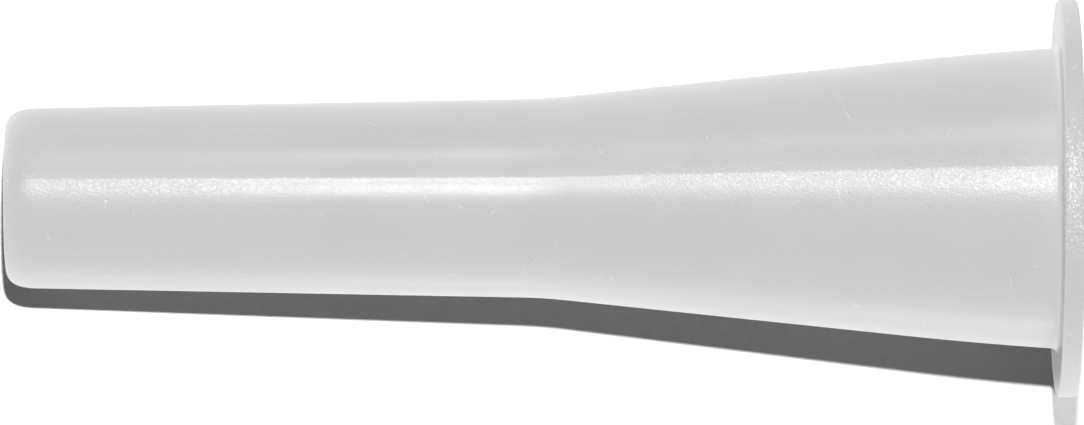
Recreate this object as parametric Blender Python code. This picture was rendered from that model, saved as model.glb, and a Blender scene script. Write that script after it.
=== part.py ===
"""A flanged plastic wall anchor with its drive screw parked inside the sleeve.

The anchor's axis is X. The origin is the centre of the flange's bearing face, the plane of the wall's surface.
+X points out of the wall, and the sleeve runs into the wall along -X. The slit between the two legs lies in the
XY plane, so the legs spread along Z as the drive screw is tapped in along -X.
"""

from math import asin, cos, pi, radians, sin, sqrt, tan

import bmesh
import bpy

MM = 0.001

# Sleeve, outside
TOTAL_LENGTH = 38.1 * MM
TIP_DIAMETER = 6.38 * MM
KNEE_DIAMETER = 7.10 * MM
KNEE_FROM_TIP = 19.15 * MM
BREAK_DEPTH = 2.73 * MM  # where the flare turns gentler, just behind the flange
BREAK_DIAMETER = 10.34 * MM
MOUTH_DIAMETER = 10.71 * MM  # outside the flare, at the flange
FLANGE_DIAMETER = 14.18 * MM
FLANGE_THICKNESS = 0.71 * MM
FLANGE_EDGE_RADIUS = 0.13 * MM
FLANGE_FILLET = 0.22 * MM
TIP_RADIUS = 0.68 * MM

# Sleeve, inside
RECESS_RADIUS = 4.30 * MM
RECESS_DEPTH = 3.90 * MM
RECESS_CHAMFER = 0.12 * MM
COUNTERSINK_HALF_ANGLE = radians(41)
BORE_RADIUS = 2.42 * MM
LEG_BORE_RADIUS = 2.32 * MM
END_WALL = 1.15 * MM
END_HOLE_RADIUS = 0.90 * MM
SLIT = 0.35 * MM
HINGE_GAP = 0.30 * MM  # between the collar and the legs, where the real moulding bends
HINGE_RADIUS = 2.95 * MM

# The rib inside each leg that the screw's point pushes outwards: distance past the knee, height above the axis
RIB_RAMP = [(2.4 * MM, 2.60 * MM), (2.5 * MM, 2.19 * MM), (4.6 * MM, 2.05 * MM), (6.7 * MM, 1.82 * MM),
            (9.5 * MM, 1.30 * MM), (15.0 * MM, 1.30 * MM), (16.0 * MM, 2.60 * MM)]
RIB_WIDTH = 1.60 * MM

# Drive screw, 1 inch long with its head, with 18 threads an inch
SCREW_LENGTH = 25.4 * MM
THREAD_RADIUS = 2.10 * MM
CORE_RADIUS = 1.50 * MM
PITCH = 1.40 * MM
POINT_LENGTH = 4.60 * MM
HEAD_RADIUS = 3.95 * MM
HEAD_EDGE = 0.28 * MM
NECK_LENGTH = 1.60 * MM  # plain shank between the head's cone and the thread
RECESS_WING = 4.40 * MM
RECESS_WIDTH = 1.00 * MM
CROSS_DEPTH = 1.90 * MM
CROSS_TAPER = 0.42
SCREW_PARKED = 0.20 * MM  # the head's flat top at rest, just inside the flange's outer face

# Fineness of the round shapes
ROUND_STEPS = 64
LEG_STEPS = 30
SCREW_STEPS = 24
PITCH_STEPS = 6

KNEE_X = FLANGE_THICKNESS - TOTAL_LENGTH + KNEE_FROM_TIP
TIP_X = FLANGE_THICKNESS - TOTAL_LENGTH


def clear_scene():
    for obj in list(bpy.data.objects):
        bpy.data.objects.remove(obj, do_unlink=True)


def material(name, color, roughness, metallic=0.0):
    made = bpy.data.materials.new(name)
    made.use_nodes = True
    shader = made.node_tree.nodes["Principled BSDF"]
    shader.inputs["Base Color"].default_value = (*color, 1.0)
    shader.inputs["Roughness"].default_value = roughness
    shader.inputs["Metallic"].default_value = metallic
    return made


def add_object(name, verts, faces, stuff, location=(0, 0, 0), rotation=(0, 0, 0)):
    """A mesh object with its faces turned outwards and its round faces shaded smooth."""
    mesh = bpy.data.meshes.new(name)
    mesh.from_pydata(verts, [], faces)
    shape = bmesh.new()
    shape.from_mesh(mesh)
    bmesh.ops.remove_doubles(shape, verts=shape.verts, dist=1e-7)
    bmesh.ops.dissolve_degenerate(shape, edges=shape.edges, dist=1e-7)
    bmesh.ops.recalc_face_normals(shape, faces=shape.faces)
    shape.to_mesh(mesh)
    shape.free()
    mesh.shade_smooth()
    mesh.set_sharp_from_angle(angle=radians(30))
    if stuff:
        mesh.materials.append(stuff)
    obj = bpy.data.objects.new(name, mesh)
    obj.location = location
    obj.rotation_euler = rotation
    bpy.context.scene.collection.objects.link(obj)
    return obj


def add_cutter(name, verts, faces, parent):
    """A helper for a Boolean, in its parent's own space."""
    helper = add_object(name, verts, faces, None)
    helper.parent = parent
    helper.hide_render = True
    helper.display_type = "WIRE"
    return helper


def boolean(obj, helper, operation):
    modifier = obj.modifiers.new(helper.name, "BOOLEAN")
    modifier.operation = operation
    modifier.object = helper
    modifier.solver = "EXACT"


def arc(centre_x, centre_r, radius, start_deg, end_deg, steps):
    """Points of a round corner in the (x, r) plane."""
    angles = [radians(start_deg + (end_deg - start_deg) * k / steps) for k in range(steps + 1)]
    return [(centre_x + radius * cos(a), centre_r + radius * sin(a)) for a in angles]


def collar_profile():
    """The collar's section as a closed loop of (x, r): outside from the flange to the knee, then back inside."""
    flange_r = FLANGE_DIAMETER / 2
    edge = FLANGE_EDGE_RADIUS
    mouth_r = MOUTH_DIAMETER / 2
    countersink_length = (RECESS_RADIUS - BORE_RADIUS) / tan(COUNTERSINK_HALF_ANGLE)
    loop = arc(FLANGE_THICKNESS - edge, flange_r - edge, edge, 0, 90, 3)
    loop += arc(edge, flange_r - edge, edge, 90, 180, 3)
    loop += arc(-FLANGE_FILLET, mouth_r + FLANGE_FILLET, FLANGE_FILLET, 0, -90, 4)
    loop += [(-BREAK_DEPTH, BREAK_DIAMETER / 2), (KNEE_X, KNEE_DIAMETER / 2)]
    loop += [(KNEE_X, BORE_RADIUS), (-RECESS_DEPTH - countersink_length, BORE_RADIUS)]
    loop += [(-RECESS_DEPTH, RECESS_RADIUS), (FLANGE_THICKNESS - RECESS_CHAMFER, RECESS_RADIUS)]
    loop += [(FLANGE_THICKNESS, RECESS_RADIUS + RECESS_CHAMFER)]
    return loop


def flared_collar(stuff):
    """The flange and the flared half of the sleeve: one closed ring round X."""
    loop = collar_profile()
    verts, faces = [], []
    for k in range(ROUND_STEPS):
        turn = 2 * pi * k / ROUND_STEPS
        verts += [(x, r * cos(turn), r * sin(turn)) for x, r in loop]
    count = len(loop)
    for k in range(ROUND_STEPS):
        here, there = k * count, (k + 1) % ROUND_STEPS * count
        for j in range(count):
            after = (j + 1) % count
            faces.append((here + j, here + after, there + after, there + j))
    return add_object("flared_collar", verts, faces, stuff)


def leg_profile():
    """A leg's section as a closed loop of (x, r): outside from the knee to the tip, then back inside."""
    start = KNEE_X - HINGE_GAP
    tip_r = TIP_DIAMETER / 2
    taper = (KNEE_DIAMETER / 2 - tip_r) / KNEE_FROM_TIP
    loop = [(start, KNEE_DIAMETER / 2 - HINGE_GAP * taper)]
    loop += arc(TIP_X + TIP_RADIUS, tip_r - TIP_RADIUS, TIP_RADIUS, 90, 180, 5)
    loop += [(TIP_X, END_HOLE_RADIUS), (TIP_X + END_WALL, END_HOLE_RADIUS)]
    loop += [(TIP_X + END_WALL, LEG_BORE_RADIUS), (start, LEG_BORE_RADIUS)]
    return loop


def leg_mesh():
    """Half a sleeve above the slit, in the hinge's own space: a swept section with a flat face on each side."""
    loop = leg_profile()
    half_slit = SLIT / 2
    verts, faces = [], []
    for k in range(LEG_STEPS + 1):
        for x, r in loop:
            first = asin(half_slit / r)
            turn = first + (pi - 2 * first) * k / LEG_STEPS
            verts.append((x - KNEE_X, r * cos(turn), r * sin(turn) - HINGE_RADIUS))
    count = len(loop)
    for k in range(LEG_STEPS):
        here, there = k * count, (k + 1) * count
        for j in range(count):
            after = (j + 1) % count
            faces.append((here + j, here + after, there + after, there + j))
    faces.append(tuple(range(count)))
    faces.append(tuple(range(LEG_STEPS * count, (LEG_STEPS + 1) * count)))
    return verts, faces


def rib_mesh():
    """The ramped rib, in the hinge's own space. Its back stays inside the leg's wall."""
    count = len(RIB_RAMP)
    half = RIB_WIDTH / 2
    verts = [(-d, side * half, z - HINGE_RADIUS) for side in (-1, 1) for d, z in RIB_RAMP]
    faces = [tuple(range(count)), tuple(range(count, 2 * count))]
    faces += [(j, (j + 1) % count, (j + 1) % count + count, j + count) for j in range(count)]
    return verts, faces


def leg(name, side, stuff):
    """One leg, hinged on the knee: side is 1 for the leg on +Z and -1 for the one turned to -Z."""
    turned = 0.0 if side > 0 else pi
    verts, faces = leg_mesh()
    made = add_object(name, verts, faces, stuff, (KNEE_X, 0, side * HINGE_RADIUS), (turned, 0, 0))
    boolean(made, add_cutter(name + "_rib", *rib_mesh(), made), "UNION")
    return made


def thread_height(x, phase):
    """How far the screw stands out at a distance x behind its top: core and thread, both thinner at the point."""
    point = min(1.0, max(0.0, (SCREW_LENGTH - x) / POINT_LENGTH))
    neck_end = head_length() + NECK_LENGTH
    rise = min(1.0, max(0.0, (x - neck_end) / PITCH))
    ridge = max(0.0, 1 - abs(phase - 0.5) / 0.35)
    core = CORE_RADIUS * (0.04 + 0.96 * point)
    return core + (THREAD_RADIUS - CORE_RADIUS) * ridge * rise * min(1.0, 1.6 * point)


def head_length():
    return HEAD_EDGE + (HEAD_RADIUS - CORE_RADIUS) / tan(COUNTERSINK_HALF_ANGLE)


def screw_mesh():
    """The screw in its own space: its flat top at the origin, its point on -X.

    The rows of points follow the helix. At both ends they are held back to a plain ring, and weld there.
    """
    start, end = head_length() + NECK_LENGTH, SCREW_LENGTH
    rows = round((end - start) / PITCH * PITCH_STEPS)
    verts, faces = [(0, 0, 0)], []
    for r, depth in ((HEAD_RADIUS, 0.0), (HEAD_RADIUS, HEAD_EDGE), (CORE_RADIUS, head_length())):
        for k in range(SCREW_STEPS):
            turn = 2 * pi * k / SCREW_STEPS
            verts.append((-depth, r * cos(turn), r * sin(turn)))
    first = len(verts)
    for row in range(-PITCH_STEPS, rows + 1):
        for k in range(SCREW_STEPS + 1):
            x = start + PITCH * (row / PITCH_STEPS + k / SCREW_STEPS)
            x = min(end, max(start, x))
            r = thread_height(x, row % PITCH_STEPS / PITCH_STEPS)
            turn = 2 * pi * k / SCREW_STEPS
            verts.append((-x, r * cos(turn), r * sin(turn)))
    for k in range(SCREW_STEPS):
        after = (k + 1) % SCREW_STEPS
        faces.append((0, 1 + k, 1 + after))
        for ring in (1, 1 + SCREW_STEPS):
            faces.append((ring + k, ring + SCREW_STEPS + k, ring + SCREW_STEPS + after, ring + after))
        neck = 1 + 2 * SCREW_STEPS
        faces.append((neck + k, first + k, first + k + 1, neck + after))
    across = SCREW_STEPS + 1
    for row in range(rows + PITCH_STEPS):
        for k in range(SCREW_STEPS):
            here = first + row * across + k
            faces.append((here, here + across, here + across + 1, here + 1))
    tip = len(verts)
    verts.append((-SCREW_LENGTH - 0.05 * MM, 0, 0))
    last = first + (rows + PITCH_STEPS) * across
    for k in range(SCREW_STEPS):
        faces.append((last + k, tip, last + k + 1))
    return verts, faces


def cross_wing_mesh():
    """One bar of the cross recess, narrowing with depth. It starts above the head's top, so that it cuts clean."""
    above = 0.3 * MM
    verts = []
    for x, share in ((above, 1.0), (-CROSS_DEPTH, CROSS_TAPER)):
        for y, z in ((-1, -1), (1, -1), (1, 1), (-1, 1)):
            verts.append((x, y * RECESS_WING / 2 * share, z * RECESS_WIDTH / 2 * sqrt(share)))
    faces = [(0, 1, 2, 3), (4, 5, 6, 7)]
    faces += [(j, (j + 1) % 4, (j + 1) % 4 + 4, j + 4) for j in range(4)]
    return verts, faces


def drive_screw(stuff):
    made = add_object("drive_screw", *screw_mesh(), stuff, (SCREW_PARKED, 0, 0))
    for k in range(2):
        wing = add_cutter(f"cross_wing_{k}", *cross_wing_mesh(), made)
        wing.rotation_euler = (pi / 4 + k * pi / 2, 0, 0)
        boolean(made, wing, "DIFFERENCE")
    return made


def main():
    clear_scene()
    plastic = material("natural_plastic", (0.80, 0.80, 0.79), 0.35)
    steel = material("zinc_steel", (0.70, 0.71, 0.73), 0.30, 1.0)
    flared_collar(plastic)
    leg("front_leg", 1, plastic)
    leg("rear_leg", -1, plastic)
    drive_screw(steel)


main()
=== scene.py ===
"""The wall anchor's looks: moulded plastic collar and legs, ribs and drive screw, on a pale studio floor."""

from math import acos, asin, atan2, cos, degrees, hypot, pi, radians, sin, sqrt, tan

import bmesh
import bpy
import numpy as np
from mathutils import Matrix, Vector


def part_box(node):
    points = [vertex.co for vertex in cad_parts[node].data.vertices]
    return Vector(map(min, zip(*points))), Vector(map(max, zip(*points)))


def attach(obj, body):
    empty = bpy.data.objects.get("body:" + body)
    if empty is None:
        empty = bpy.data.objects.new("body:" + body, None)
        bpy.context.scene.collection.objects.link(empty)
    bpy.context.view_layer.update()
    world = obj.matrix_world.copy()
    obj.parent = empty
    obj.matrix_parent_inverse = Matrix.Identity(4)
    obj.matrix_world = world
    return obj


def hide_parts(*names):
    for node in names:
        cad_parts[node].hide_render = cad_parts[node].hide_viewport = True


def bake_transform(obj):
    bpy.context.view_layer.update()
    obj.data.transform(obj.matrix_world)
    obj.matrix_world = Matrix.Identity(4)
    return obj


MM = 0.001

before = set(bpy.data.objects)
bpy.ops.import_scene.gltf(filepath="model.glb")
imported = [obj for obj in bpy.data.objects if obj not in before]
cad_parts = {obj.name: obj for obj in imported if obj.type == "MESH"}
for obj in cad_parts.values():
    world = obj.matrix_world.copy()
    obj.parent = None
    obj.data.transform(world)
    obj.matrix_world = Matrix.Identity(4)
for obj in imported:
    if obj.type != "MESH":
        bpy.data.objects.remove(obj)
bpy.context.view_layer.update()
COLLAR_LOW, COLLAR_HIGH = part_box("flared_collar")
LEG_LOW, LEG_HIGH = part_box("front_leg")
SCREW_LOW, SCREW_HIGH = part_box("drive_screw")

# Outside of the moulding, in millimetres: x along the axis, radius from it
FLANGE_FRONT = COLLAR_HIGH[0] / MM
KNEE = COLLAR_LOW[0] / MM
TIP = LEG_LOW[0] / MM
FLANGE_R = COLLAR_HIGH[2] / MM
TIP_R, KNEE_R, BREAK_R, MOUTH_R = 3.19, 3.55, 5.17, 5.355
BREAK = -2.73
FLANGE_EDGE, FLANGE_FILLET = 0.13, 0.22
TIP_ROUND, TIP_DROP, TIP_EASE = 1.30, 0.78, 2 / 2.8
KNEE_SOFTNESS, BREAK_SOFTNESS = 0.75, 2.4
FLANGE_ROOT = MOUTH_R - 0.01 + FLANGE_FILLET

# Inside of the moulding
RECESS_R, RECESS_DEPTH, BORE_R, LEG_BORE_R = 4.30, 3.90, 2.42, 2.32
COUNTERSINK = radians(41)
END_WALL, END_HOLE_R = 1.15, 0.90
HALF_SLIT = 0.175
RIB_RAMP = [(2.4, 2.60), (2.5, 2.19), (4.6, 2.05), (6.7, 1.82), (9.5, 1.30), (15.0, 1.30), (16.0, 2.60)]
RIB_HALF = 0.8

# Fibres and scuffs on the skin, laid out on it unrolled at a middling radius
MM_PER_DEGREE = radians(1) * 3.8
FIBRE_TURNS = (0.5, -0.7, 1.3)

# Parting line of the mould: a hairline ledge along the whole length, and its twin on the far side
PARTING = 12.0
LEDGE, LEDGE_RISE, LEDGE_FALL = 0.009, 2.4, 8.0
WITNESS, WITNESS_HEIGHT = -58.0, 0.004


def eased_line(x, knots, softness):
    """Height at x of a broken line whose corners are rounded over a distance on both sides."""
    for (x0, r0), (x1, r1) in zip(knots, knots[1:]):
        if x <= x1 or (x1, r1) == knots[-1]:
            height = r0 + (r1 - r0) * (x - x0) / (x1 - x0)
            break
    for k in range(1, len(knots) - 1):
        (xa, ra), (xb, rb), (xc, rc) = knots[k - 1:k + 2]
        reach = softness[k - 1]
        if abs(x - xb) < reach:
            before, after = (rb - ra) / (xb - xa), (rc - rb) / (xc - xb)
            t = x - xb + reach
            height = rb - before * reach + before * t + (after - before) * t * t / (4 * reach)
    return height


def outside(x):
    """The moulding's outer radius at x, before the tip's rounding and the flange's fillet."""
    knots = [(TIP, TIP_R), (KNEE, KNEE_R), (BREAK, BREAK_R), (0.0, MOUTH_R)]
    return eased_line(x, knots, (KNEE_SOFTNESS, BREAK_SOFTNESS))


def ledge(turn, x):
    """How far the surface stands proud at an angle in degrees from +Z towards +Y: the mould's hairlines."""
    proud = 0.0
    for seat, share in ((PARTING, 1.0), (PARTING + 180, 0.7)):
        away = (turn - seat + 180) % 360 - 180
        waver = 1 + 0.12 * sin(0.9 * x + seat) + 0.08 * sin(3.1 * x)
        if away >= 0:
            proud += share * LEDGE * waver * np.exp(-away / LEDGE_FALL)
        elif away > -LEDGE_RISE:
            proud += share * LEDGE * waver * (1 + away / LEDGE_RISE)
    away = abs((turn - WITNESS + 180) % 360 - 180)
    if away < 1.2 and x < -13:
        proud += WITNESS_HEIGHT * (1 - away / 1.2) * min(1.0, (-13 - x) / 3)
    return proud


def arc(cx, cr, radius, start, end, steps):
    angles = [radians(start + (end - start) * k / steps) for k in range(steps + 1)]
    return [(cx + radius * cos(a), cr + radius * sin(a)) for a in angles]


def spaced(start, end, step):
    count = max(1, round(abs(end - start) / step))
    return [start + (end - start) * k / count for k in range(count + 1)]


def rounded(points, radius, steps=4):
    """An open run of (x, r) points with its inner corners rounded."""
    out = [points[0]]
    for before, here, after in zip(points, points[1:], points[2:]):
        a, b, c = (np.array(p, float) for p in (before, here, after))
        u, v = (a - b) / np.linalg.norm(a - b), (c - b) / np.linalg.norm(c - b)
        reach = min(radius, 0.45 * np.linalg.norm(a - b), 0.45 * np.linalg.norm(c - b))
        for k in range(steps + 1):
            t = k / steps
            p = (1 - t) ** 2 * (b + u * reach) + 2 * t * (1 - t) * b + t * t * (b + v * reach)
            out.append(tuple(p))
    return out + [points[-1]]


def columns(fine):
    """Angles in degrees round the axis, even, with extra ones at the hairlines."""
    step = 360 / fine
    turns = {round(k * step, 3) for k in range(fine)}
    for seat in (PARTING, PARTING + 180, WITNESS % 360):
        turns = {t for t in turns if abs((t - seat + 180) % 360 - 180) > 2.6}
        turns |= {round((seat + d) % 360, 3) for d in (-2.4, -1.6, -0.8, 0.0, 0.3, 1.2)}
    return sorted(turns)


def new_piece(name, verts, faces, body, sharp=35):
    """A mesh piece from points in millimetres, with its rest position kept for its material."""
    mesh = bpy.data.meshes.new(name)
    mesh.from_pydata([tuple(c * MM for c in v) for v in verts], [], faces)
    shape = bmesh.new()
    shape.from_mesh(mesh)
    bmesh.ops.remove_doubles(shape, verts=shape.verts, dist=1e-8)
    bmesh.ops.recalc_face_normals(shape, faces=shape.faces)
    shape.to_mesh(mesh)
    shape.free()
    mesh.shade_smooth()
    mesh.set_sharp_from_angle(angle=radians(sharp))
    obj = bpy.data.objects.new(name, mesh)
    bpy.context.scene.collection.objects.link(obj)
    keep_rest(obj)
    if body:
        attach(obj, body)
    return obj


def keep_rest(obj):
    mesh = obj.data
    rest = mesh.attributes.get("rest") or mesh.attributes.new("rest", "FLOAT_VECTOR", "POINT")
    spots = np.array([v.co for v in mesh.vertices], np.float32)
    rest.data.foreach_set("vector", spots.ravel())


def collar_loop():
    """The collar's section: (x, r, proud), where proud is 1 on the outer skin that carries the hairlines."""
    loop = [(KNEE, outside(KNEE), 1)]
    loop += [(x, outside(x), 1) for x in spaced(KNEE + 0.05, KNEE + 1.0, 0.1)]
    loop += [(x, outside(x), 1) for x in spaced(KNEE + 1.3, -FLANGE_FILLET - 0.12, 0.35)]
    loop += [(x, r, 1) for x, r in
             arc(-FLANGE_FILLET, FLANGE_ROOT, FLANGE_FILLET, -90, 0, 7)]
    cone = (RECESS_R - BORE_R) / tan(COUNTERSINK)
    inner = [(FLANGE_FRONT, FLANGE_ROOT), (FLANGE_FRONT, RECESS_R + 0.12),
             (FLANGE_FRONT - 0.12, RECESS_R), (-RECESS_DEPTH, RECESS_R), (-RECESS_DEPTH - cone, BORE_R),
             (KNEE, BORE_R)]
    loop += [(x, r, 0) for x, r in rounded(inner, 0.12)]
    return loop


def flange_loop():
    """The flange's section: its underside, its rim with softened edges, and its outer face."""
    edge = FLANGE_R - FLANGE_EDGE
    loop = [(0.0, r, 0) for r in spaced(FLANGE_ROOT, edge - 0.06, 0.4)]
    loop += [(x, r, 1) for x, r in arc(FLANGE_EDGE, edge, FLANGE_EDGE, 180, 90, 6)]
    loop += [(x, r, 1) for x, r in arc(FLANGE_FRONT - FLANGE_EDGE, edge, FLANGE_EDGE, 90, 0, 6)]
    loop += [(FLANGE_FRONT, r, 0) for r in spaced(edge - 0.06, FLANGE_ROOT, 0.4)]
    return loop


def turned(name, loop):
    """A closed section swept all the way round the axis."""
    turns, verts, faces, count = columns(180), [], [], len(loop)
    for t in turns:
        a = radians(t)
        for x, r, proud in loop:
            r += proud * ledge(t, x)
            verts.append((x, r * sin(a), r * cos(a)))
    for k in range(len(turns)):
        here, there = k * count, (k + 1) % len(turns) * count
        for j in range(count):
            after = (j + 1) % count
            faces.append((here + j, here + after, there + after, there + j))
    made = new_piece(name, verts, faces, "sleeve")
    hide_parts("flared_collar")
    return made


def leg_loop():
    loop = [(KNEE, outside(KNEE), 1)]
    loop += [(x, outside(x), 1) for x in spaced(KNEE - 0.05, KNEE - 1.0, 0.1)]
    loop += [(x, outside(x), 1) for x in spaced(KNEE - 1.3, TIP + TIP_ROUND + 0.2, 0.35)]
    foot = outside(TIP + TIP_ROUND)
    for k in range(15):
        a = pi / 2 * k / 14
        loop.append((TIP + TIP_ROUND * (1 - cos(a) ** TIP_EASE), foot - TIP_DROP * (1 - sin(a) ** TIP_EASE), 1))
    loop[-15:] = loop[-15:][::-1]
    inner = [(TIP, foot - TIP_DROP - 0.05), (TIP, END_HOLE_R), (TIP + END_WALL, END_HOLE_R),
             (TIP + END_WALL, LEG_BORE_R), (KNEE, LEG_BORE_R)]
    loop += [(x, r, 0) for x, r in rounded(inner, 0.10, 3)[:-1]]
    loop += [(x, LEG_BORE_R, 0) for x in spaced(TIP + END_WALL + 0.6, KNEE, 0.5)]
    return loop


def leg(name, side):
    """One leg, from the knee ring to the tip. side is 1 for the leg on +Z. Angles run from -90 to 90 about it."""
    loop = leg_loop()
    middle = 0 if side > 0 else 180
    turns = sorted((t - middle + 180) % 360 - 180 for t in columns(180))
    turns = [-90.0] + [t for t in turns if abs(t) < 88.5] + [90.0]
    verts, faces, count = [], [], len(loop)
    for t in turns:
        for x, r, proud in loop:
            short = degrees(asin(HALF_SLIT / r))
            eased = t if abs(t) <= 70 else (70 + (abs(t) - 70) * (20 - short) / 20) * (1 if t > 0 else -1)
            r += proud * ledge(eased + middle, x)
            a = radians(eased + middle)
            verts.append((x, r * sin(a), r * cos(a)))
    for k in range(len(turns) - 1):
        here, there = k * count, (k + 1) * count
        for j in range(count - 1):
            faces.append((here + j, here + j + 1, there + j + 1, there + j))
    for k in (0, len(turns) - 1):
        faces.append(tuple(k * count + j for j in range(count)))
    made = new_piece(name + "_moulding", verts, faces, None)
    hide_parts(name)
    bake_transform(made)
    return made


def rib(name, side):
    """The ramped rib inside a leg, with softened edges."""
    ramp = rounded(RIB_RAMP, 0.35, 4)
    count = len(ramp)
    insets = ((-1.0, 0.06), (-0.92, 0.0), (0.92, 0.0), (1.0, 0.06))
    verts = [(KNEE - d, across * RIB_HALF, side * (z + drop)) for across, drop in insets for d, z in ramp]
    faces = [tuple(range(count)), tuple(range(3 * count, 4 * count))]
    for k in range(3):
        for j in range(count):
            after = (j + 1) % count
            faces.append((k * count + j, k * count + after, (k + 1) * count + after, (k + 1) * count + j))
    return new_piece(name + "_rib", verts, faces, name, 50)


# Drive screw, in millimetres
SCREW_TOP = SCREW_HIGH[0] / MM
SCREW_LENGTH = 25.4
THREAD_R, CORE_R, PITCH, POINT, NECK = 2.10, 1.50, 1.40, 4.60, 1.60
HEAD_R, HEAD_EDGE = 3.95, 0.28
HEAD_LENGTH = HEAD_EDGE + (HEAD_R - CORE_R) / tan(COUNTERSINK)
TURN_STEPS, PITCH_ROWS = 56, 14


def thread_height(x, phase):
    """The shank's radius at a distance behind the screw's top: a sharp crest, round root and tapering point."""
    point = min(1.0, max(0.0, (SCREW_LENGTH - x) / POINT))
    rise = min(1.0, max(0.0, (x - HEAD_LENGTH - NECK) / PITCH))
    ridge = max(0.0, 1 - abs(phase - 0.5) / 0.36)
    ridge = min(1.0, 1.06 * ridge ** 1.25)
    core = CORE_R * (0.04 + 0.96 * point)
    return core + (THREAD_R - CORE_R) * ridge * rise * min(1.0, 1.6 * point)


def screw_shank():
    start, end = HEAD_LENGTH + NECK, SCREW_LENGTH
    rows = round((end - start) / PITCH * PITCH_ROWS)
    verts, faces = [], []
    for depth in spaced(HEAD_LENGTH - 0.3, start - 0.02, 0.3):
        verts += [(SCREW_TOP - depth, CORE_R * cos(2 * pi * k / TURN_STEPS), CORE_R * sin(2 * pi * k / TURN_STEPS))
                  for k in range(TURN_STEPS + 1)]
    for row in range(-PITCH_ROWS, rows + 1):
        for k in range(TURN_STEPS + 1):
            x = min(end, max(start, start + PITCH * (row / PITCH_ROWS + k / TURN_STEPS)))
            r = thread_height(x, row % PITCH_ROWS / PITCH_ROWS)
            turn = 2 * pi * k / TURN_STEPS
            verts.append((SCREW_TOP - x, r * cos(turn), r * sin(turn)))
    across = TURN_STEPS + 1
    for row in range(len(verts) // across - 1):
        for k in range(TURN_STEPS):
            here = row * across + k
            faces.append((here, here + across, here + across + 1, here + 1))
    return new_piece("screw_shank", verts, faces, "screw", 40)


def screw_head():
    """The countersunk head with its cross recess cut in and all its edges softened."""
    outline = [(0.0, 0.0), (0.0, HEAD_R), (-HEAD_EDGE, HEAD_R), (-HEAD_LENGTH, CORE_R), (-HEAD_LENGTH - 0.2, CORE_R)]
    loop = [outline[0], (0.0, 2.9)] + rounded(outline[1:], 0.07, 3)[0:] + [(-HEAD_LENGTH - 0.2, 0.0)]
    loop = [outline[0], (0.0, 2.9)] + rounded([(0.0, 2.9)] + outline[1:], 0.07, 3)[1:] + [(-HEAD_LENGTH - 0.2, 0.0)]
    steps, count = 72, len(loop)
    verts = [(SCREW_TOP + x, r * cos(2 * pi * k / steps), r * sin(2 * pi * k / steps))
             for k in range(steps) for x, r in loop]
    faces = []
    for k in range(steps):
        here, there = k * count, (k + 1) % steps * count
        faces += [(here + j, here + j + 1, there + j + 1, there + j) for j in range(count - 1)]
    head = new_piece("screw_head", verts, faces, None, 30)
    helpers = []
    for turned in (pi / 4, 3 * pi / 4):
        ring = []
        for x, share in ((0.3, 1.08), (0.0, 1.0), (-1.45, 0.52), (-1.9, 0.16)):
            half, thick = 2.2 * share, 0.5 * sqrt(share)
            corner = min(0.18, 0.4 * thick)
            shape = []
            for sy, sz in ((-1, -1), (1, -1), (1, 1), (-1, 1)):
                ends = [(sy * half, sz * (thick - corner)), (sy * (half - corner), sz * thick)]
                shape += ends if sy * sz > 0 else ends[::-1]
            ring.append([(SCREW_TOP + x, y * cos(turned) - z * sin(turned), y * sin(turned) + z * cos(turned))
                         for y, z in shape])
        size = len(ring[0])
        pts = [p for layer in ring for p in layer]
        sides = [tuple(range(size)), tuple(range(3 * size, 4 * size))]
        sides += [(a * size + j, a * size + (j + 1) % size, (a + 1) * size + (j + 1) % size, (a + 1) * size + j)
                  for a in range(3) for j in range(size)]
        helper = new_piece(f"wing_{turned:.2f}", pts, sides, None)
        cut = head.modifiers.new("cut", "BOOLEAN")
        cut.operation, cut.object, cut.solver = "DIFFERENCE", helper, "EXACT"
        helpers.append(helper)
    bevel = head.modifiers.new("bevel", "BEVEL")
    bevel.width, bevel.segments, bevel.limit_method, bevel.angle_limit = 0.035 * MM, 2, "ANGLE", radians(38)
    bpy.context.view_layer.update()
    made = bpy.data.meshes.new_from_object(head.evaluated_get(bpy.context.evaluated_depsgraph_get()))
    head.modifiers.clear()
    head.data = made
    for helper in helpers:
        bpy.data.objects.remove(helper)
    made.shade_smooth()
    made.set_sharp_from_angle(angle=radians(32))
    keep_rest(head)
    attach(head, "screw")
    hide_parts("drive_screw")
    return head


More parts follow.
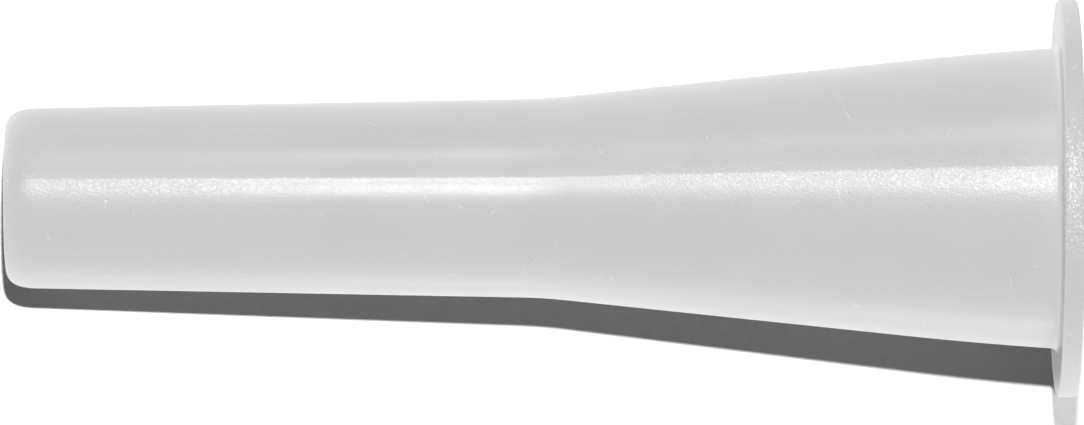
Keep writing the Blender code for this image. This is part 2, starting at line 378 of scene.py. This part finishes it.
class Nodes:
    """A short way of building a material's node tree."""

    def __init__(self, name):
        self.material = bpy.data.materials.new(name)
        self.material.use_nodes = True
        self.tree = self.material.node_tree
        self.shader = self.tree.nodes["Principled BSDF"]

    def add(self, kind, values=None, **settings):
        node = self.tree.nodes.new(kind)
        for key, value in settings.items():
            setattr(node, key, value)
        for key, value in (values or {}).items():
            self.put(node.inputs[key], value)
        return node

    def put(self, socket, value):
        if isinstance(value, bpy.types.NodeSocket):
            self.tree.links.new(value, socket)
        else:
            socket.default_value = value

    def math(self, operation, a, b=0.0, c=0.0, clamp=False):
        node = self.add("ShaderNodeMath", operation=operation, use_clamp=clamp)
        for socket, value in zip(node.inputs, (a, b, c)):
            self.put(socket, value)
        return node.outputs[0]

    def noise(self, where, scale, detail=2.0, roughness=0.5, distortion=0.0):
        node = self.add("ShaderNodeTexNoise", {"Vector": where, "Scale": scale, "Detail": detail,
                                               "Roughness": roughness, "Distortion": distortion})
        return node.outputs["Fac"]

    def ramp(self, value, low, high, start=0.0, end=1.0, smooth=True):
        node = self.add("ShaderNodeMapRange", {"Value": value, "From Min": low, "From Max": high,
                                               "To Min": start, "To Max": end})
        node.interpolation_type = "SMOOTHSTEP" if smooth else "LINEAR"
        return node.outputs[0]

    def bump(self, height, distance, strength, normal=None):
        values = {"Height": height, "Distance": distance, "Strength": strength}
        if normal:
            values["Normal"] = normal
        return self.add("ShaderNodeBump", values).outputs[0]

    def blend_color(self, share, first, second):
        node = self.add("ShaderNodeMix", data_type="RGBA")
        self.put(node.inputs["Factor"], share)
        self.put(node.inputs["A"], first)
        self.put(node.inputs["B"], second)
        return [s for s in node.outputs if s.type == "RGBA"][0]


def grey(value, tint=(1.0, 1.0, 1.0)):
    return tuple(value * t for t in tint) + (1.0,)


def plastic_material():
    """Natural moulded plastic: satin, with a spark-eroded grain, fine scuffs and a little dust, plus painted glints
    on the flange and a painted highlight line near the tip.
    """
    n = Nodes("natural_plastic_moulded")
    where = n.add("ShaderNodeAttribute", attribute_name="rest").outputs["Vector"]
    parts = n.add("ShaderNodeSeparateXYZ", {"Vector": where})
    x = n.math("DIVIDE", parts.outputs["X"], MM)
    turn = n.math("DEGREES", n.math("ARCTAN2", parts.outputs["Y"], parts.outputs["Z"]))
    # The grain is coarse on the tip's third, on the flare and on the rim, and nearly polished between them
    on_tip = n.ramp(x, -25.0, -33.0)
    on_flare = n.ramp(x, -17.2, -14.0)
    on_rim = n.ramp(x, -0.05, 0.08)
    grainy = n.math("ADD", n.math("MULTIPLY", on_tip, 0.50), n.math("MULTIPLY", on_flare, 0.35))
    grainy = n.math("ADD", n.math("ADD", grainy, n.math("MULTIPLY", on_rim, 1.4)), 0.22)
    # The band round the axis where the main highlight falls at rest
    lit = n.math("MULTIPLY", n.ramp(turn, -20.0, -8.0), n.ramp(turn, 30.0, 16.0))
    grain = n.noise(where, 11500, 2.0, 0.6)
    pits = n.noise(where, 6500, 1.5, 0.5)
    peel = n.noise(where, 900, 2.0, 0.5)
    along = n.add("ShaderNodeMapping", {"Vector": where, "Scale": (0.06, 1.0, 1.0)}).outputs[0]
    draw = n.noise(along, 5200, 2.0, 0.55)
    # Dust specks, short fibres and scuffs
    cells = n.add("ShaderNodeTexVoronoi", {"Vector": where, "Scale": 900.0, "Randomness": 1.0})
    dust = n.math("LESS_THAN", cells.outputs["Distance"], n.math("MULTIPLY", cells.outputs["Color"], 0.055))
    dust = n.math("MULTIPLY", dust, n.math("GREATER_THAN", n.noise(where, 420, 1.0), 0.44))
    unrolled = n.add("ShaderNodeCombineXYZ", {"X": x, "Y": n.math("MULTIPLY", turn, MM_PER_DEGREE)}).outputs[0]
    waver = n.add("ShaderNodeTexNoise", {"Vector": unrolled, "Scale": 1.6, "Detail": 1.0}).outputs["Color"]
    bent = n.add("ShaderNodeVectorMath", {0: waver, 1: (0.45, 0.45, 0.0), 2: unrolled}, operation="MULTIPLY_ADD")
    fibres = 0.0
    for turned_by in FIBRE_TURNS:
        skew = n.add("ShaderNodeMapping", {"Vector": bent.outputs[0], "Rotation": (0.0, 0.0, turned_by)}).outputs[0]
        slim = n.add("ShaderNodeMapping", {"Vector": skew, "Scale": (0.10, 1.0, 1.0)}).outputs[0]
        lines = n.add("ShaderNodeTexVoronoi", {"Vector": slim, "Scale": 0.62, "Randomness": 1.0})
        lines.voronoi_dimensions = "2D"
        fibres = n.math("ADD", fibres, n.ramp(lines.outputs["Distance"], 0.017, 0.008))
    fibres = n.math("MULTIPLY", fibres, n.ramp(n.noise(unrolled, 2.2, 1.0), 0.40, 0.52), clamp=True)
    # Flash rubbed off in dots along the parting line
    off_line = n.math("ABSOLUTE", n.math("SUBTRACT", turn, PARTING + 0.1))
    flash_and_painted_highlight = n.math("MULTIPLY", n.ramp(off_line, 0.75, 0.25), n.ramp(n.noise(where, 5200, 2.0, 0.6), 0.56, 0.64))
    # Painted highlight: a pale dashed line along the witness ridge near the tip, added in with the flash dots
    off_ridge = n.math("ABSOLUTE", n.math("SUBTRACT", turn, WITNESS))
    ridge = n.math("MULTIPLY", n.ramp(off_ridge, 0.7, 0.2), n.ramp(x, -27.5, -30.0))
    ridge = n.math("MULTIPLY", ridge, n.ramp(n.noise(where, 1500, 2.0, 0.6), 0.42, 0.56))
    flash_and_painted_highlight = n.math("ADD", flash_and_painted_highlight, n.math("MULTIPLY", ridge, 0.6))
    tone = n.ramp(n.noise(where, 260, 3.0, 0.55), 0.3, 0.7, 0.0, 1.0)
    color = n.blend_color(tone, grey(0.462, (1.0, 1.0, 0.995)), grey(0.476, (1.0, 1.0, 0.995)))
    color = n.blend_color(n.math("MULTIPLY", n.ramp(grain, 0.35, 0.7), 0.25), color, grey(0.50))
    color = n.blend_color(n.math("MULTIPLY", flash_and_painted_highlight, 0.26), color, grey(0.80))
    color = n.blend_color(n.math("MULTIPLY", fibres, 0.24), color, grey(0.85))
    color = n.blend_color(n.math("MULTIPLY", dust, 0.36), color, grey(0.88))
    # Painted glints: pale dots of colour over the flange, in the band where the key light's highlight falls at rest
    painted_glints = n.math("MULTIPLY", n.ramp(n.noise(where, 10500, 1.5, 0.6), 0.50, 0.70), n.math("MULTIPLY", on_rim, lit))
    color = n.blend_color(n.math("MULTIPLY", painted_glints, 0.50), color, grey(0.88))
    n.put(n.shader.inputs["Base Color"], color)
    rough = n.math("ADD", n.math("MULTIPLY", grainy, 0.03), 0.31)
    rough = n.math("ADD", rough, n.math("MULTIPLY", n.math("SUBTRACT", peel, 0.5), 0.08))
    spark = n.math("MULTIPLY", n.ramp(n.noise(where, 9500, 1.5, 0.6), 0.40, 0.62, 0.03, -0.12), n.math("MULTIPLY", grainy, lit))
    rough = n.math("ADD", rough, spark)
    rough = n.math("ADD", rough, n.math("MULTIPLY", on_tip, 0.05))
    n.put(n.shader.inputs["Roughness"], rough)
    normal = n.bump(peel, 0.012 * MM, 0.35)
    normal = n.bump(draw, 0.006 * MM, 0.35, normal)
    normal = n.bump(pits, 0.014 * MM, n.math("MULTIPLY", grainy, 0.20), normal)
    normal = n.bump(grain, 0.016 * MM, n.math("MULTIPLY", grainy, 0.70), normal)
    normal = n.bump(n.math("ADD", fibres, flash_and_painted_highlight), 0.004 * MM, 0.4, normal)
    n.put(n.shader.inputs["Normal"], normal)
    n.shader.inputs["IOR"].default_value = 1.50
    n.shader.inputs["Specular IOR Level"].default_value = 0.24
    return n.material


def zinc_material():
    """Bright zinc plating: slightly mottled, drawn along the shank, rubbed on the thread's crests."""
    n = Nodes("zinc_plated_steel")
    where = n.add("ShaderNodeAttribute", attribute_name="rest").outputs["Vector"]
    mottle = n.noise(where, 900, 4.0, 0.6, 0.4)
    fine = n.noise(where, 9000, 2.0, 0.6)
    along = n.add("ShaderNodeMapping", {"Vector": where, "Scale": (1.0, 0.12, 0.12)}).outputs[0]
    turned = n.noise(along, 7000, 2.0, 0.5)
    color = n.blend_color(n.ramp(mottle, 0.35, 0.68), grey(0.62, (0.97, 0.99, 1.04)), grey(0.78, (1.0, 1.0, 0.99)))
    n.put(n.shader.inputs["Base Color"], color)
    n.shader.inputs["Metallic"].default_value = 1.0
    rough = n.math("ADD", n.ramp(mottle, 0.3, 0.7, 0.24, 0.38), n.math("MULTIPLY", fine, 0.06))
    n.put(n.shader.inputs["Roughness"], rough)
    normal = n.bump(mottle, 0.010 * MM, 0.25)
    normal = n.bump(turned, 0.006 * MM, 0.35, normal)
    normal = n.bump(fine, 0.003 * MM, 0.3, normal)
    n.put(n.shader.inputs["Normal"], normal)
    return n.material


def floor_material():
    n = Nodes("studio_floor")
    where = n.add("ShaderNodeNewGeometry").outputs["Position"]
    speck = n.noise(where, 3200, 3.0, 0.6)
    color = n.blend_color(n.ramp(speck, 0.3, 0.7), grey(0.34), grey(0.36))
    n.put(n.shader.inputs["Base Color"], color)
    n.shader.inputs["Roughness"].default_value = 0.9
    n.shader.inputs["Specular IOR Level"].default_value = 0.1
    n.put(n.shader.inputs["Normal"], n.bump(speck, 0.02 * MM, 0.3))
    return n.material


TIP_CLEARANCE = 0.40
NEAR, FAR = 80.0, 1500.0


def floor():
    """A plain plane that the flange's rim rests on, tilted to pass just under the tip."""
    touch = (FLANGE_FRONT - 0.05, -FLANGE_R - 0.02)
    under_tip = (TIP + TIP_ROUND, -TIP_R - TIP_CLEARANCE)
    slope = (under_tip[1] - touch[1]) / (under_tip[0] - touch[0])
    look = floor_material()
    corners = [(x * size, y * size) for size in (NEAR, FAR) for x, y in ((-1, -1), (1, -1), (1, 1), (-1, 1))]
    verts = [(x * MM, y * MM, (touch[1] + slope * (x - touch[0])) * MM) for x, y in corners]
    sheets = []
    for name, faces in (("studio_floor_near", [(0, 1, 2, 3)]),
                        ("studio_floor_far", [(k, 4 + k, 4 + (k + 1) % 4, (k + 1) % 4) for k in range(4)])):
        mesh = bpy.data.meshes.new(name)
        mesh.from_pydata(verts[:4] if len(faces) == 1 else verts, [], faces)
        mesh.materials.append(look)
        made = bpy.data.objects.new(name, mesh)
        bpy.context.scene.collection.objects.link(made)
        sheets.append(made)
    return sheets


def aim(lamp, middle, lean, along, back=0.45):
    """Puts a lamp at a lean in degrees from +Z towards +Y, and from there along +X, looking at middle."""
    way = Vector((sin(radians(along)), cos(radians(along)) * sin(radians(lean)), cos(radians(along)) * cos(radians(lean))))
    lamp.location = Vector(middle) + way * back
    lamp.rotation_euler = way.to_track_quat("Z", "Y").to_euler()


def group(name, members):
    made = bpy.data.collections.new(name)
    for member in members:
        made.objects.link(member)
    return made


def link(lamp, lights_up, shadows_of):
    lamp.light_linking.receiver_collection = lights_up
    lamp.light_linking.blocker_collection = shadows_of
    bpy.context.scene.collection.objects.link(lamp)


def sun(name, lean, along, energy, angle, lights_up, shadows_of):
    """A parallel light that lights one group of pieces, past another group that casts its shadows."""
    data = bpy.data.lights.new(name, "SUN")
    data.energy, data.angle = energy * pi, radians(angle)
    lamp = bpy.data.objects.new(name, data)
    aim(lamp, LIT_FROM, lean, along)
    link(lamp, lights_up, shadows_of)
    return lamp


def near_lamp(name, lean, energy, size, back, lights_up, shadows_of, along=0.0):
    """A small round lamp near the camera, as bright on the anchor as a sun of the same energy."""
    data = bpy.data.lights.new(name, "POINT")
    data.energy, data.shadow_soft_size = energy * pi * 4 * pi * back ** 2, size
    lamp = bpy.data.objects.new(name, data)
    aim(lamp, LIT_FROM, lean, along, back)
    link(lamp, lights_up, shadows_of)
    return lamp


LIT_FROM = (-13 * MM, 0, 0)


def lights(pieces, flange, ground):
    """A key from above with its crisp shadow, three highlights, and soft fills for the glow of a white table.

    The thin flange lets about half of the key through, so its shadow on the table is paler than the sleeve's.
    """
    anchor = group("anchor", pieces)
    sleeve = group("anchor_without_flange", [p for p in pieces if p != flange])
    near, far = group("table_near", ground[:1]), group("table_far", ground[1:])
    sun("key", 1.0, -12.0, 1.06, 18.0, anchor, anchor).visible_glossy = False
    near_lamp("table_key", 10.4, 2.0, 0.0046, 0.41, near, anchor)
    near_lamp("table_key_through_flange", 10.4, 1.65, 0.0046, 0.41, near, sleeve)
    sun("far_table", 10.4, 0.0, 3.2, 1.3, far, anchor)
    sun("table_glow_low", -115.0, 0.0, 0.84, 40, anchor, anchor).visible_glossy = False
    sun("table_glow_high", 122.0, -25.0, 0.67, 40, anchor, anchor).visible_glossy = False
    near_lamp("front_glow", 15.0, 0.55, 0.10, 0.45, anchor, anchor, 84.0).visible_glossy = False
    for name, lean, along, energy, size in (("key_highlight", 11.3, 0.0, 0.76, 0.009),
                                            ("flare_highlight", 17.0, -12.0, 0.32, 0.006),
                                            ("upper_highlight", 53.0, 0.0, 0.24, 0.022),
                                            ("lower_highlight", -116.0, 0.0, 0.035, 0.012)):
        near_lamp(name, lean, energy, size, 0.48, anchor, anchor, along).visible_diffuse = False
    world = bpy.data.worlds.new("studio")
    world.use_nodes = True
    world.node_tree.nodes["Background"].inputs["Color"].default_value = (1, 1, 1, 1)
    world.node_tree.nodes["Background"].inputs["Strength"].default_value = 0.20
    bpy.context.scene.world = world
    bpy.context.scene.view_settings.view_transform = "Standard"


def camera():
    data = bpy.data.cameras.new("camera")
    data.sensor_width, data.lens = 36.0, 382.5
    data.clip_start, data.clip_end = 0.01, 20.0
    made = bpy.data.objects.new("camera", data)
    made.location = (-18.32 * MM, -0.506 * MM, 0.41)
    bpy.context.scene.collection.objects.link(made)
    bpy.context.scene.camera = made


camera()
plastic, zinc = plastic_material(), zinc_material()
flange = turned("flange_moulding", flange_loop())
moulding = [flange, turned("collar_moulding", collar_loop()), leg("front_leg", 1), leg("rear_leg", -1), rib("front_leg", 1), rib("rear_leg", -1)]
screw = [screw_shank(), screw_head()]
for piece in moulding + screw:
    piece.data.materials.clear()
    piece.data.materials.append(plastic if piece in moulding else zinc)
lights(moulding + screw, flange, floor())
